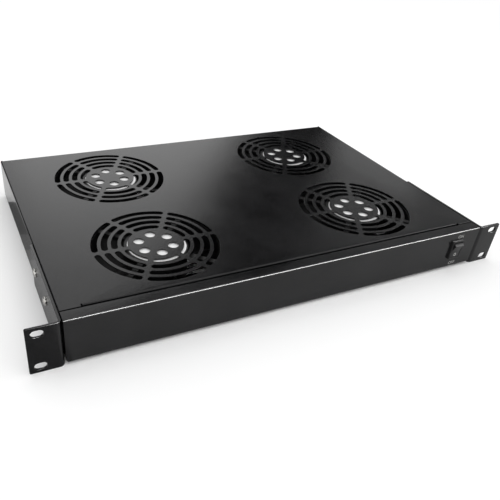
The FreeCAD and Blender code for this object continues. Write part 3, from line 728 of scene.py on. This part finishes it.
# %% Holes in the floor
intake_radius, intake_pitch, intake_width, intake_count = 56.0, 10.5, 6.5, 9
fan_screw_offset, fan_screw_hole = 52.5, 2.2
fan_corners = [(a * fan_screw_offset, b * fan_screw_offset) for a in (-1, 1) for b in (-1, 1)]


def intake(x, y):
    """Slots under one fan, each as long as the fan's circle allows."""
    slots = []
    for i in range(intake_count):
        offset = (i - (intake_count - 1) / 2) * intake_pitch
        reach = math.sqrt(intake_radius**2 - (abs(offset) + intake_width / 2) ** 2)
        slots.append(bar_slot(x, y + offset, reach + intake_width / 4, intake_width))
    return slots


def fan_holes(x, y):
    return [circle(x + a, y + b, fan_screw_hole, thread_sides) for a, b in fan_corners]


print("slots under one fan", len(intake(0, 0)))

# %% Tray sheet
def tray_floor(mesh):
    right = [(panel_foot, fold_y), (panel_foot, flange_front), (floor_edge, flange_front)]
    right += [(floor_edge, flange_rear), (wall_edge, flange_rear), (wall_edge, rear_y)]
    outline = right + [(-x, y) for x, y in reversed(right)]
    folded_sides = (2, 5, 8, 11)
    slots = [slot for centre in fans.values() for slot in intake(centre.x, centre.y)]
    slots += [hole for centre in fans.values() for hole in fan_holes(centre.x, centre.y)]
    plate(mesh, outline, folded_sides, slots, sheet, lying(tray_lo.z, 1))


def tray_panel(mesh):
    """The front panel, with the switch's opening, between the floor's fold and the lip's."""
    low_fold = bend(fold_y, fold_z, fold_out, -math.pi / 2, -math.pi)
    strip(mesh, low_fold, -panel_foot, panel_foot, sheet, across)
    half = [(panel_foot, fold_z)]
    half += arc(panel_foot, fold_z + foot_round, foot_round, -math.pi / 2, 0, 5)[1:]
    half.append((panel_side, tray_hi.z - fold_out))
    panel = half + [(-x, z) for x, z in reversed(half)]
    folded_sides = (len(half) - 1, len(panel) - 1)
    plate(mesh, panel, folded_sides, [switch_opening], sheet, facing(panel_front, 1))
    lip = bend(fold_y, tray_hi.z - fold_out, fold_out, math.pi, math.pi / 2)
    lip.append(((panel_front + lip_depth, tray_hi.z), (0, -1)))
    strip(mesh, lip, -panel_side, panel_side, sheet, across, True)


def tray_wall(mesh):
    """The rear wall, with the inlet's opening and two threaded holes."""
    fold = bend(rear_y, fold_z, fold_out, -math.pi / 2, 0)
    strip(mesh, fold, -wall_edge, wall_edge, sheet, across)
    wall = [(-wall_edge, fold_z), (wall_edge, fold_z), (wall_edge, flange_top), (-wall_edge, flange_top)]
    screws = [circle(s * rear_screw_x, rear_screw_z, thread_hole, thread_sides) for s in (-1, 1)]
    plate(mesh, wall, (0,), [inlet_opening] + screws, sheet, facing(tray_hi.y, -1))


def tray_flanks(mesh):
    side = [(flange_front, fold_z), (flange_rear, fold_z)]
    side += [(flange_rear, flange_top), (flange_front, flange_top)]
    screws = [circle(y, side_screw_height, thread_hole, thread_sides) for y in side_screw_rows]
    for s in (-1, 1):
        fold = bend(floor_edge, fold_z, fold_out, -math.pi / 2, 0)
        strip(mesh, fold, flange_front, flange_rear, sheet, along(s))
        plate(mesh, side, (0,), screws, sheet, flanking(s, tray_side, -1))


tray = bmesh.new()
for part in (tray_floor, tray_panel, tray_wall, tray_flanks):
    part(tray)
piece("tray_sheet", tray, black_powder, "chassis", ["base_tray"])

# %% [markdown]
# ## Rack ears
# Each ear is a bracket of thicker sheet: a flat face with two slots for the rack's screws, a wide bend,
# and a leg that two screws hold to the side of the case. One function draws the right ear, and a side of
# -1 mirrors it, which is surer than drawing it twice.

# %% Ear brackets
ear_lo, ear_hi = box_mm("ear_bracket_right")
ear_sheet, ear_out, ear_round = 2.0, 4.0, 1.2
slot_x, slot_z, slot_length, slot_height = 232.55, 15.875, 10.0, 6.5


def ear_bracket(side):
    mesh = bmesh.new()
    top, front = ear_hi.z, ear_lo.y
    bend_x, bend_y = cover_side + ear_out, front + ear_out
    middle_x = (bend_x + ear_hi.x) / 2
    face = rounded_box(middle_x, 0, ear_hi.x - bend_x, 2 * top, ear_round, 3)
    face = [p for p in face if p[0] > middle_x] + [(bend_x, top), (bend_x, -top)]
    slots = [bar_slot(slot_x, z, slot_length / 2, slot_height) for z in (-slot_z, slot_z)]
    plate(mesh, face, (len(face) - 2,), slots, ear_sheet,
          lambda x, z, d: Vector((side * x, front + d, z)))
    corner = bend(bend_x, bend_y, ear_out, -math.pi / 2, -math.pi, 12)
    strip(mesh, corner, -top, top, ear_sheet, lambda x, y, w: Vector((side * x, y, w)))
    leg = rounded_box((bend_y + ear_hi.y) / 2, 0, ear_hi.y - bend_y, 2 * top, ear_round, 3)
    leg = [p for p in leg if p[0] > ear_hi.y / 2] + [(bend_y, top), (bend_y, -top)]
    holes = [circle(y, side_screw_height, screw_hole, hole_sides) for y in side_screw_rows]
    plate(mesh, leg, (len(leg) - 2,), holes, ear_sheet, flanking(side, cover_side, 1))
    return mesh


for name, side in (("left", -1), ("right", 1)):
    ear = ear_bracket(side)
    piece("ear_" + name, ear, black_powder, "chassis", ["ear_bracket_" + name])

# %% [markdown]
# ## Screws
# Pan heads with a cross recess. A bump could fake the recess, but it has to hold up close and in
# silhouette. So the head is turned from a profile, and a boolean cuts a tapered plus sign out of it. One
# head is made once and copied to every seat, and each copy has its own turn, as a hand leaves them.

# %% Cut a shape out of another
def scratch_object(name, mesh):
    bmesh.ops.recalc_face_normals(mesh, faces=mesh.faces)
    data = bpy.data.meshes.new(name)
    mesh.to_mesh(data)
    mesh.free()
    made = bpy.data.objects.new(name, data)
    bpy.context.scene.collection.objects.link(made)
    return made


def carved(solid, cutter):
    """The solid with the cutter taken out, as a mesh. Both scratch objects are removed."""
    one, two = scratch_object("solid", solid), scratch_object("cutter", cutter)
    cut = one.modifiers.new("cut", "BOOLEAN")
    cut.operation = "DIFFERENCE"
    cut.object = two
    cut.solver = "EXACT"
    bpy.context.view_layer.update()
    data = bpy.data.meshes.new_from_object(one.evaluated_get(bpy.context.evaluated_depsgraph_get()))
    for scratch in (one, two):
        bpy.data.objects.remove(scratch)
    return data


# %% Cross-recess screws
def cross(reach, width):
    """A plus sign, anticlockwise."""
    w = width / 2
    loop = [(reach, -w), (reach, w), (w, w), (w, reach), (-w, reach), (-w, w)]
    return loop + [(-x, -y) for x, y in loop]


def about(x, y):
    """A turned form on the upright axis through x and y."""
    return lambda u, v, height: Vector((x + u, y + v, height))


def pan_head(length, height=2.4, radius=4.0):
    """A head on a short thread: the crown's steps are shares of its radius and of a 2.4 mm height."""
    solid, cutter = bmesh.new(), bmesh.new()
    profile = [(0, -length), (1.6, -length), (2.0, 0.5 - length), (2.0, 0)]
    profile += [(radius - 0.15, 0), (radius, 0.15)]
    crown = [(1, 0.8), (0.96, 1.25), (0.85, 1.7), (0.65, 2.08), (0.4, 2.31), (0, 2.4)]
    profile += [(radius * share, step * height / 2.4) for share, step in crown]
    revolve(solid, profile, head_sides, about(0, 0))
    recess = [(2.5, 1.15, height + 0.3), (2.2, 1.0, height - 0.2), (0.9, 0.7, 0.7 * height / 2.4)]
    skin(cutter, [(cross(reach, width), z) for reach, width, z in recess], about(0, 0))
    return carved(solid, cutter)


def screws(seats, head):
    """Copies of a head; each seat is a place and the direction that the head faces."""
    mesh = bmesh.new()
    for number, (place, direction) in enumerate(seats):
        twist = Matrix.Rotation(0.5 + 1.3 * number, 3, "Z").to_quaternion()
        turned = Vector(direction).to_track_quat("Z", "Y") @ twist
        copy = head.copy()
        copy.transform(Matrix.Translation(place) @ turned.to_matrix().to_4x4())
        mesh.from_mesh(copy)
        bpy.data.meshes.remove(copy)
    return mesh


side_seats = [((s * (cover_side + ear_sheet), y, side_screw_height), (s, 0, 0))
              for s in (-1, 1) for y in side_screw_rows]
rear_seats = [((s * rear_screw_x, rear_face, rear_screw_z), (0, 1, 0)) for s in (-1, 1)]
floor_seats = [((centre.x + a, centre.y + b, tray_lo.z), (0, 0, -1))
               for centre in fans.values() for a, b in fan_corners]
bracket_screws, cover_screws = screws(side_seats, pan_head(7)), screws(rear_seats, pan_head(4.5))
floor_screws = screws(floor_seats, pan_head(4, 1.6, 3.6))
piece("bracket_pan_screws", bracket_screws, zinc_plate, "chassis", ["bracket_screws"])
piece("cover_pan_screws", cover_screws, zinc_plate, "chassis", ["cover_screws"])
piece("fan_floor_screws", floor_screws, zinc_plate, "chassis")

# %% [markdown]
# ## Fans
# Each fan is a square casting with a round bore. Four struts reach in from the corners to a motor plate
# just under the grille, and the plate's white label shines through the grille's eyes. The wheel hangs
# below: a deep hub with five twisted blades. A blade could be a bent plane with thickness, but its tip
# would not follow the bore. Each one is lofted here from root to tip on cylinders about the axis.

# %% Fan casting
fan_lo, fan_hi = box_mm("fan_frame_front_left")
fan_size, fan_round = fan_hi.x - fan_lo.x, 6.0
bore, bore_wall, flange = 58.0, 1.9, 5.0
plate_radius, plate_depth = 30.0, 5.0
cap_top = fan_hi.z + 0.6
strut_half, strut_low, strut_high, strut_chamfer = 2.75, -4.0, -0.2, 0.3
strut_stations = (plate_radius - 2, 44, bore + 1.5)
flange_overlap = 0.3


def fan_shell(mesh, x, y):
    """The two flanges and the round wall between them."""
    low, high = fan_lo.z, fan_hi.z
    outline = rounded_box(x, y, fan_size, fan_size, fan_round)
    holes = [circle(x, y, bore, bore_sides)] + fan_holes(x, y)
    plate(mesh, outline, (), holes, flange, lying(high, -1))
    plate(mesh, outline, (), holes, flange, lying(low, 1))
    bottom, top = low + flange - flange_overlap, high - flange + flange_overlap
    outer = bore + bore_wall
    wall = [(bore, bottom), (bore, top), (outer, top), (outer, bottom), (bore, bottom)]
    rings = [(circle(0, 0, radius, bore_sides), height) for radius, height in wall]
    skin(mesh, rings, about(x, y), False)


def fan_casting(centre):
    mesh = bmesh.new()
    x, y, high = centre.x, centre.y, fan_hi.z
    fan_shell(mesh, x, y)
    r, under = plate_radius, high - plate_depth
    carrier = [(0, under), (r - 0.6, under), (r, under + 0.6), (r, high - 0.4), (r - 0.4, high)]
    carrier += [(r - 0.8, cap_top - 0.4), (r - 1.2, cap_top), (0, cap_top)]
    revolve(mesh, carrier, hub_sides, about(x, y))
    w, c = strut_half, strut_chamfer
    section = [(-w, strut_low), (w, strut_low), (w, strut_high - c)]
    section += [(w - c, strut_high), (c - w, strut_high), (-w, strut_high - c)]
    for quarter in range(4):
        angle = math.radians(45 + 90 * quarter)
        out = Vector((math.cos(angle), math.sin(angle), 0))
        aside = Vector((-out.y, out.x, 0))
        strut = [(section, distance) for distance in strut_stations]
        skin(mesh, strut, lambda a, b, d: Vector((x, y, high + b)) + aside * a + out * d)
    return mesh


print("a fan is", round(fan_size, 1), "mm square and", round(fan_hi.z - fan_lo.z, 1), "mm deep")

# %% Hub label
label_radius, label_shift = 26.9, (0.6, -0.5)
label_below, label_above = 0.05, 0.08


def hub_label(centre):
    """A disc of film, stuck on a little off centre, as a hand leaves it."""
    mesh = bmesh.new()
    low, high = cap_top - label_below, cap_top + label_above
    disc = [(0, low), (label_radius, low), (label_radius, high), (0, high)]
    revolve(mesh, disc, hub_sides, about(centre.x + label_shift[0], centre.y + label_shift[1]))
    return mesh


print("label", 2 * label_radius, "mm across")

# %% Fan wheel
wheel_lo, wheel_hi = box_mm("impeller_front_left")
hub_radius, blade_count, tip_radius = 29.0, 5, 56.3
root_radius = hub_radius - 1.5
# Each pair is at the blade's root and at its tip: millimetres, but degrees for the pitch.
blade_chord, blade_pitch, blade_thickness, blade_lead = (27, 40), (38, 28), (2.6, 1.4), (0, 6)
camber_share = 0.07


def blade_section(radius, share, turn, centre, height):
    """A cambered section wrapped on a cylinder; share runs from the root, 0, to the tip, 1."""
    pairs = (blade_chord, blade_pitch, blade_thickness, blade_lead)
    chord, degrees, thick, lead = [root + (tip - root) * share for root, tip in pairs]
    pitch, camber = math.radians(degrees), camber_share * chord
    steps = [i / 9 for i in range(10)]
    sides = [(s, 1) for s in steps] + [(s, -1) for s in reversed(steps[1:-1])]
    loop = []
    for s, face in sides:
        chordwise = (s - 0.5) * chord
        bow = camber * 4 * s * (1 - s)
        half = face * thick * 0.5 * math.sqrt(max(1 - (2 * s - 1) ** 2, 0)) * (1.25 - 0.5 * s)
        bulge = bow - camber / 2 + half
        around = chordwise * math.cos(pitch) - bulge * math.sin(pitch) + lead
        rise = -chordwise * math.sin(pitch) - bulge * math.cos(pitch)
        angle = turn + around / radius
        x, y = centre.x + radius * math.cos(angle), centre.y + radius * math.sin(angle)
        loop.append((x, y, height + rise))
    return loop


def fan_wheel(centre):
    mesh = bmesh.new()
    low, high, r = wheel_lo.z, wheel_hi.z, hub_radius
    hub = [(0, low), (r - 3, low), (r - 1.2, low + 0.6), (r, low + 2.4)]
    hub += [(r, high - 1.5), (r - 0.5, high - 0.4), (r - 1.5, high), (0, high)]
    revolve(mesh, hub, hub_sides, about(centre.x, centre.y))
    for blade in range(blade_count):
        turn = 2 * math.pi * blade / blade_count
        rows = []
        for share in [i / 6 for i in range(7)]:
            radius = root_radius + share * (tip_radius - root_radius)
            loop = blade_section(radius, share, turn, centre, (low + high) / 2)
            rows.append([mesh.verts.new(point) for point in loop])
        for one, two in zip(rows, rows[1:]):
            join_rows(mesh, one, two)
        mesh.faces.new(rows[0])
        mesh.faces.new(rows[-1])
    return mesh


for name, centre in fans.items():
    casting, label, wheel = fan_casting(centre), hub_label(centre), fan_wheel(centre)
    rotor, impeller = "rotor_" + name, "impeller_" + name
    piece("casting_" + name, casting, painted_casting, "chassis", ["fan_frame_" + name])
    piece("label_" + name, label, label_film, "chassis")
    piece("wheel_" + name, wheel, wheel_plastic, rotor, [impeller], 40)

# %% [markdown]
# ## Switch
# A small snap-in rocker stands proud of the panel in a chamfered frame. Its paddle could be a bent box,
# but then its ends would strike the frame as it tilts. It is drawn from the side instead, with ends that
# are round about the pivot, and carried across its width.

# %% Switch frame
frame_size, well_size, frame_proud, frame_wall = (15.0, 21.0), (11.6, 17.8), 0.4, 2.5


def switch_loop(size, radius, y, grow=0.0):
    """A rounded outline about the switch's centre, and its depth."""
    width, height = size
    return rounded_box(switch_centre.x, switch_centre.z, width + grow, height + grow, radius), y


def upright(x, z, y):
    return Vector((x, y, z))


def switch_housing():
    mesh = bmesh.new()
    front, rear = switch_lo.y - frame_proud, switch_hi.y
    loops = [
        switch_loop(switch_body_size, 0.6, rear),
        switch_loop(switch_body_size, 0.6, panel_front),
        switch_loop(frame_size, 1.3, panel_front),
        switch_loop(frame_size, 1.3, front + 0.7),
        switch_loop(frame_size, 1.2, front + 0.25, -0.3),
        switch_loop(frame_size, 1.0, front, -0.9),
        switch_loop(well_size, 0.7, front, 0.5),
        switch_loop(well_size, 0.5, front + 0.3),
        switch_loop(well_size, 0.5, rear - frame_wall),
    ]
    skin(mesh, loops, upright)
    return mesh


piece("switch_frame", switch_housing(), switch_nylon, "chassis", ["switch_body"])

# %% Switch paddle
rocker = next(joint for joint in frame["joints"] if joint["name"] == "rocker_tilt")
pivot_y, pivot_z = rocker["pos_m"][1] / mm, rocker["pos_m"][2] / mm
paddle_half, paddle_radius, paddle_back, paddle_soft = 5.55, 8.65, 3.0, 0.35
paddle_tip, paddle_valley = 4.8, 3.5
paddle_swing = math.radians(11)
tip_rise = math.sqrt(paddle_radius**2 - paddle_tip**2)
back_rise = math.sqrt(paddle_radius**2 - paddle_back**2)


def dish(rise):
    """How far the paddle's dished face stands out from the pivot at this rise."""
    return paddle_valley + (paddle_tip - paddle_valley) * abs(rise / tip_rise) ** 1.5


def swung(x, out, rise):
    """A point of the paddle, out from its pivot and up, leaned to the off side."""
    lean_out = out * math.cos(paddle_swing) + rise * math.sin(paddle_swing)
    lean_rise = rise * math.cos(paddle_swing) - out * math.sin(paddle_swing)
    return Vector((switch_centre.x + x, pivot_y - lean_out, pivot_z + lean_rise))


def switch_paddle():
    mesh = bmesh.new()
    rises = [(i / 6 - 1) * tip_rise for i in range(13)]
    start, end = math.atan2(tip_rise, paddle_tip), math.atan2(back_rise, -paddle_back)
    upper = arc(0, 0, paddle_radius, start, end, 10)[1:]
    profile = [(out, -rise) for out, rise in reversed(upper)] + [(dish(r), r) for r in rises] + upper
    rows = []
    edge = paddle_half - paddle_soft
    for x, shrink in ((-paddle_half, paddle_soft), (-edge, 0), (edge, 0), (paddle_half, paddle_soft)):
        size = 1 - shrink / paddle_radius
        rows.append([mesh.verts.new(swung(x, out * size, rise * size)) for out, rise in profile])
    for one, two in zip(rows, rows[1:]):
        join_rows(mesh, one, two)
    mesh.faces.new(rows[0])
    mesh.faces.new(rows[-1])
    return mesh


piece("switch_paddle", switch_paddle(), paddle_plastic, "rocker", ["switch_rocker"], 40)

# %% [markdown]
# ## Printed marks
# ON and OFF are pad printed above and below the switch, and the paddle carries the ring that means off.
# The words are text objects with a hair of thickness. The ring has to lie on a curved face, which text
# doesn't do, so it is a mesh that follows the same dish as the paddle.

# %% Printed marks
ring_middle = -4.6
legend_rise, legend_height, legend_thickness = 15.6, 3.4, 0.02
on_shift, off_shift = 3.0, 2.0
cap_share = 0.7


def off_ring():
    """The ring on the paddle's lower half, a few hundredths of a millimetre thick."""
    mesh = bmesh.new()
    angles = [i * math.pi / 14 for i in range(28)]
    rows = []
    rims = [(1.5, 1.9, 0.01), (1.5, 1.9, 0.05), (0.8, 1.2, 0.05), (0.8, 1.2, 0.01)]
    for half_width, half_height, lift in rims:
        oval = [(half_width * math.cos(a), half_height * math.sin(a) + ring_middle) for a in angles]
        rows.append([mesh.verts.new(swung(x, dish(rise) + lift, rise)) for x, rise in oval])
    for one, two in zip(rows, rows[1:] + rows[:1]):
        join_rows(mesh, one, two)
    return mesh


def legend(name, words, x, z):
    """Pad-printed words on the panel."""
    text = bpy.data.curves.new(name, "FONT")
    text.body = words
    text.size = legend_height * mm / cap_share
    text.align_x = "CENTER"
    text.align_y = "CENTER"
    text.extrude = legend_thickness * mm
    made = bpy.data.objects.new(name, text)
    bpy.context.scene.collection.objects.link(made)
    made.location = (x * mm, (panel_front - legend_thickness) * mm, z * mm)
    made.rotation_euler = (math.pi / 2, 0, 0)
    text.materials.append(white_ink)
    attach(made, "chassis")
    print(name, "reads", words)


piece("switch_ring", off_ring(), white_ink, "rocker")
legend("legend_on", "ON", switch_centre.x + on_shift, legend_rise)
legend("legend_off", "OFF", switch_centre.x + off_shift, -legend_rise)

# %% [markdown]
# ## Power inlet
# At the rear sits a snap-in mains inlet: a moulded flange round a keyed recess, with three flat pins.
# The recess's two upper corners are cut, which lets the connector in only one way up. One skin runs over
# the body, the flange and down into the recess, so it needs no boolean and has no seams.

# %% Inlet
pins_lo, pins_hi = box_mm("inlet_pins")
inlet_flange_size, inlet_recess_size = (30.7, 23.6), (24.4, 16.8)
inlet_body_depth, inlet_recess_depth = 17.0, 16.6
pin_pitch, earth_rise, pin_drop = 7.0, 4.0, 2.0


def keyed(size, cut, y, grow=0.0, radius=0.8):
    """The keyed outline and its depth, with as many points at any size."""
    w, h = (size[0] + grow) / 2, (size[1] + grow) / 2
    corners = [(w, -h), (w, h - cut), (w - cut, h), (cut - w, h), (-w, h - cut), (-w, -h)]
    loop = []
    for i, corner in enumerate(corners):
        here = Vector(corner)
        for other in (corners[i - 1], corners[(i + 1) % 6]):
            point = here + (Vector(other) - here).normalized() * radius
            loop.append((inlet_centre.x + point.x, inlet_centre.z + point.y))
    return loop, y


def inlet_housing():
    mesh = bmesh.new()
    rear, wall = inlet_hi.y, tray_hi.y
    loops = [
        keyed(inlet_body_size, 3.0, wall - inlet_body_depth),
        keyed(inlet_body_size, 3.0, wall),
        keyed(inlet_flange_size, 2.4, wall, 0, 1.0),
        keyed(inlet_flange_size, 2.4, rear - 0.8, 0, 1.0),
        keyed(inlet_flange_size, 2.4, rear, -1.4, 1.0),
        keyed(inlet_recess_size, 4.2, rear, 0.5),
        keyed(inlet_recess_size, 4.2, rear - 0.4),
        keyed(inlet_recess_size, 4.2, rear - inlet_recess_depth),
    ]
    skin(mesh, loops, upright)
    return mesh


def inlet_blades():
    """Three flat pins, the earth in the middle and higher, with narrowed tips."""
    mesh = bmesh.new()
    tail, tip = pins_lo.y, pins_hi.y
    middle, low = inlet_centre.x, inlet_centre.z - pin_drop
    for x, z in ((middle - pin_pitch, low), (middle + pin_pitch, low), (middle, low + earth_rise)):
        full = rounded_box(x, z, 2.0, 4.0, 0.3, 3)
        less = rounded_box(x, z, 1.6, 3.6, 0.3, 3)
        least = rounded_box(x, z, 0.8, 2.6, 0.2, 3)
        skin(mesh, [(full, tail), (full, tip - 1.0), (less, tip - 0.4), (least, tip)], upright)
    return mesh


piece("inlet_housing", inlet_housing(), inlet_plastic, "chassis", ["inlet_body"])
piece("inlet_blades", inlet_blades(), zinc_plate, "chassis", ["inlet_pins"])

# %% [markdown]
# ## Parts that keep their engineering shape
# The shafts, terminals, leads, terminal block and earth stud are hardly seen, and their own shapes are
# right. Making them again would gain nothing, so they only get their finishes.

# %% Finish the carried-over parts
carried = {
    "fan_terminals": tinned_brass,
    "switch_terminals": tinned_brass,
    "terminal_block": block_nylon,
    "inlet_lead": lead_sleeve,
    "switch_lead": lead_sleeve,
    "fan_lead": lead_sleeve,
    "earth_stud": zinc_plate,
}
for name in fans:
    carried["fan_shaft_" + name] = ground_steel
for node, material in carried.items():
    data = frame["nodes"][node].data
    data.materials.clear()
    data.materials.append(material)
print("carried over", len(carried))

# %% [markdown]
# ## Share the edge light
# In a studio, flags keep a strong light off what it shouldn't touch. Here the edge light falls only on
# the pieces in its collection: the tray, the ears and the bracket screws. It leaves the cover dark.

# %% Share the edge light
for name in ("tray_sheet", "ear_left", "ear_right", "bracket_pan_screws"):
    edge_lit.objects.link(bpy.data.objects[name])
